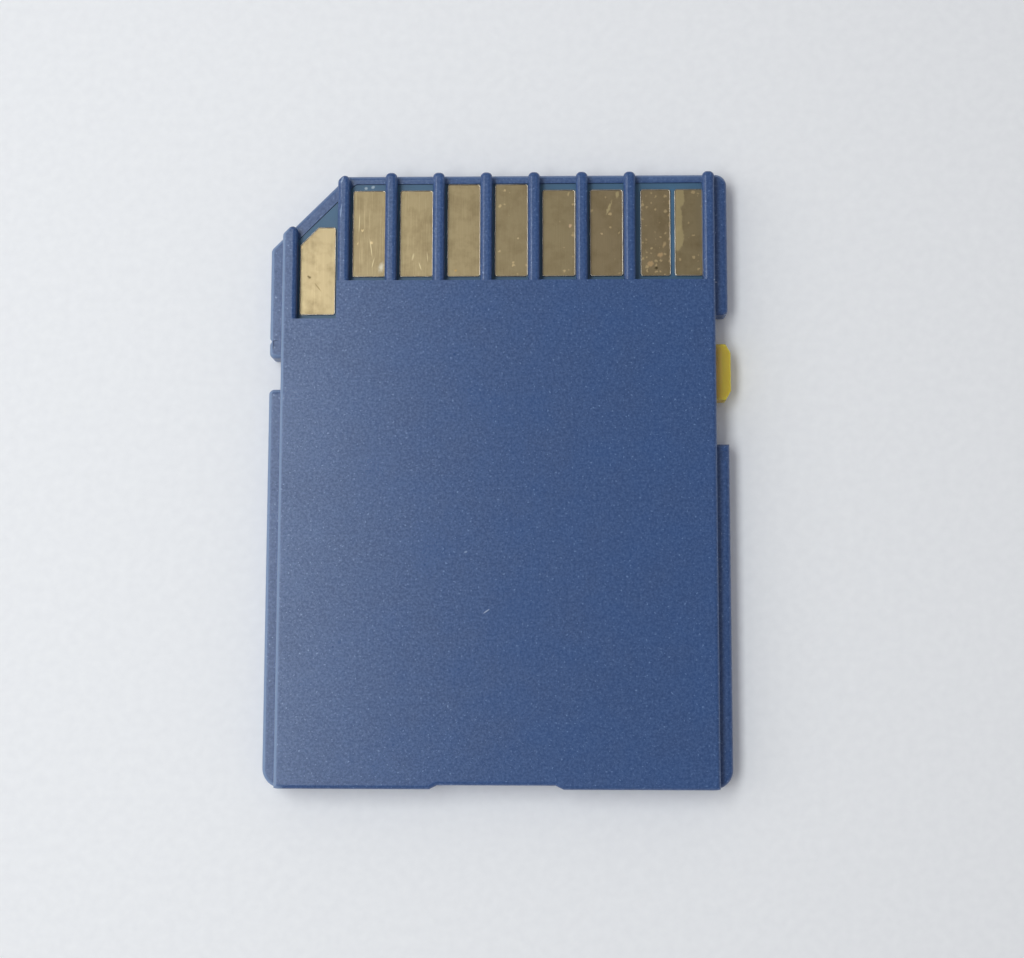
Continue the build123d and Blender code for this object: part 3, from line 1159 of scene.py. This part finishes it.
@dataclass
class BoardComponents:
    """Packages and chip components under the board.

    Attributes:
        terminal_length: Length of a chip's tinned cap in millimetres.
        compound: Finish of the packages.
        capacitor: Finish of a capacitor.
        resistor: Finish of a resistor.
    """

    packages: tuple[str, ...] = ("flash_chip", "controller_chip")
    capacitors: tuple[str, ...] = tuple(f"capacitor_{number}" for number in range(1, 5))
    resistors: tuple[str, ...] = tuple(f"resistor_{number}" for number in range(1, 7))
    terminal_length: float = 0.25
    compound: MouldingCompound = MouldingCompound()
    capacitor: TinnedCeramic = TinnedCeramic("fired_ceramic_capacitor", "#9A8465", "#7E6B50")
    resistor: TinnedCeramic = TinnedCeramic("glazed_alumina_resistor", "#2B2C30", "#1D1E22")

    def build(self) -> None:
        """Dress the packages, capacitors and resistors."""
        material = self.compound.material()
        for name in self.packages:
            dress(name, material)
        self.dress_row(self.capacitors, self.capacitor)
        self.dress_row(self.resistors, self.resistor)

    def dress_row(self, names: Sequence[str], ceramic: TinnedCeramic) -> None:
        """Dress one row of chips that lie across the card.

        Args:
            names: Nodes of the row.
            ceramic: Finish of a chip, still to be fitted to the row.
        """
        low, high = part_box(names[0])
        fitted = replace(
            ceramic,
            middle=(low[0] + high[0]) / 2,
            body_half_length=(high[0] - low[0]) / 2 - mm(self.terminal_length),
        )
        material = fitted.material()
        for name in names:
            dress(name, material)


@dataclass
class WriteProtectSlider:
    """The yellow tab that slides in the right edge."""

    node: str = "write_protect_slider"
    resin: SliderResin = SliderResin()

    def build(self) -> None:
        """Dress the slider."""
        dress(self.node, self.resin.material())


@dataclass(frozen=True)
class Pane:
    """One pane of soft window light, pointed at the card.

    Attributes:
        name: Name of the lamp.
        place: Middle of the pane in metres.
        size: Sides of the pane in metres, along and across the window.
        power: Power in watts.
        colour: Colour of its light.
    """

    name: str
    place: tuple[float, float, float]
    size: tuple[float, float]
    power: float
    colour: str

    def hang(self) -> None:
        """Hang the pane and point it at the middle of the card."""
        lamp = bpy.data.lights.new(self.name, "AREA")
        lamp.shape = "RECTANGLE"
        lamp.size, lamp.size_y = self.size
        lamp.energy = self.power
        lamp.color = linear(self.colour)[:3]
        pane = bpy.data.objects.new(self.name, lamp)
        pane.location = self.place
        pane.rotation_euler = Vector(self.place).to_track_quat("Z", "Y").to_euler()
        bpy.context.scene.collection.objects.link(pane)
        LOG.info("hung %s", pane.name)


@dataclass
class Studio:
    """Paper floor, soft window light and the camera over the card.

    Attributes:
        floor_half: Half the floor's side in metres.
        floor_gap: How far the floor lies under the card in millimetres.
        panes: Panes of window light.
        sky: Colour of the sky's light.
        sky_side: Strength of the sky from left to right.
        sky_height: Strength that the sky gains down to the horizon, as from pale walls.
        camera_place: Camera in millimetres.
        camera_turn: Turns of the camera about X, Y and Z in degrees.
        lens: Focal length in millimetres.
        sensor: Sensor width in millimetres.
        nearest: Nearest distance that the camera shows in millimetres.
        paper: Finish of the floor.
    """

    floor_half: float = 3.0
    floor_gap: float = 0.01
    panes: tuple[Pane, ...] = (
        Pane("upper_pane", (-0.062, 0.003, 0.155), (0.15, 0.05), 0.137, "#F8FEFF"),
        Pane("lower_pane", (-0.28, 0.02, 0.19), (0.2, 0.2), 0.155, "#FFFBF7"),
    )
    sky: str = "#FBFCFF"
    sky_side: Ramp = Ramp(-0.8, 0.8, 0.4, 0.3, Curve.EASED)
    sky_height: Ramp = Ramp(0.0, 0.7, 0.45, 0.0, Curve.EASED)
    camera_place: tuple[float, float, float] = (3.309, -10.661, 91.598)
    camera_turn: tuple[float, float, float] = (6.638, 1.615, 0.134)
    lens: float = 61.7
    sensor: float = 36.0
    nearest: float = 5.0
    paper: DrawingPaper = DrawingPaper()

    def build(self) -> None:
        """Make the floor, the light and the camera."""
        bpy.context.scene.view_settings.view_transform = "Standard"
        self.lay_floor()
        for pane in self.panes:
            pane.hang()
        self.light_sky()
        self.place_camera()

    def lay_floor(self) -> None:
        """Lay the paper just under the card."""
        half = self.floor_half
        height = -mm(self.floor_gap)
        corners = [(-half, -half, height), (half, -half, height), (half, half, height), (-half, half, height)]
        mesh = bpy.data.meshes.new("paper_floor")
        mesh.from_pydata(corners, [], [(0, 1, 2, 3)])
        mesh.materials.append(self.paper.material())
        floor = bpy.data.objects.new("paper_floor", mesh)
        bpy.context.scene.collection.objects.link(floor)
        LOG.info("laid %s", floor.name)

    def light_sky(self) -> None:
        """Light the sky, brighter to the left and towards the horizon."""
        world = bpy.data.worlds.new("studio_sky")
        world.use_nodes = True
        tree = world.node_tree
        tree.nodes.clear()
        source = add_node(tree, "ShaderNodeTexCoord")
        across, _, up = split(tree, source.outputs["Generated"])
        strength = compute(tree, "ADD", self.sky_side.of(tree, across), self.sky_height.of(tree, up))
        sky = add_node(tree, "ShaderNodeBackground", {"Color": linear(self.sky), "Strength": strength})
        add_node(tree, "ShaderNodeOutputWorld", {"Surface": sky.outputs[0]})
        bpy.context.scene.world = world
        LOG.info("lit %s", world.name)

    def place_camera(self) -> None:
        """Place the camera over the card."""
        lens = bpy.data.cameras.new("camera")
        lens.lens = self.lens
        lens.sensor_width = self.sensor
        lens.clip_start = mm(self.nearest)
        camera = bpy.data.objects.new("camera", lens)
        camera.location = [mm(part) for part in self.camera_place]
        camera.rotation_euler = [math.radians(turn) for turn in self.camera_turn]
        bpy.context.scene.collection.objects.link(camera)
        bpy.context.scene.camera = camera
        LOG.info("placed %s", camera.name)


def main() -> None:
    """Dress the card and set the studio, piece by piece."""
    logging.basicConfig(level=logging.INFO, format="%(message)s")
    for assembly in (Shells(), ContactBoard(), BoardComponents(), WriteProtectSlider(), Studio()):
        assembly.build()


if __name__ == "__main__":
    main()
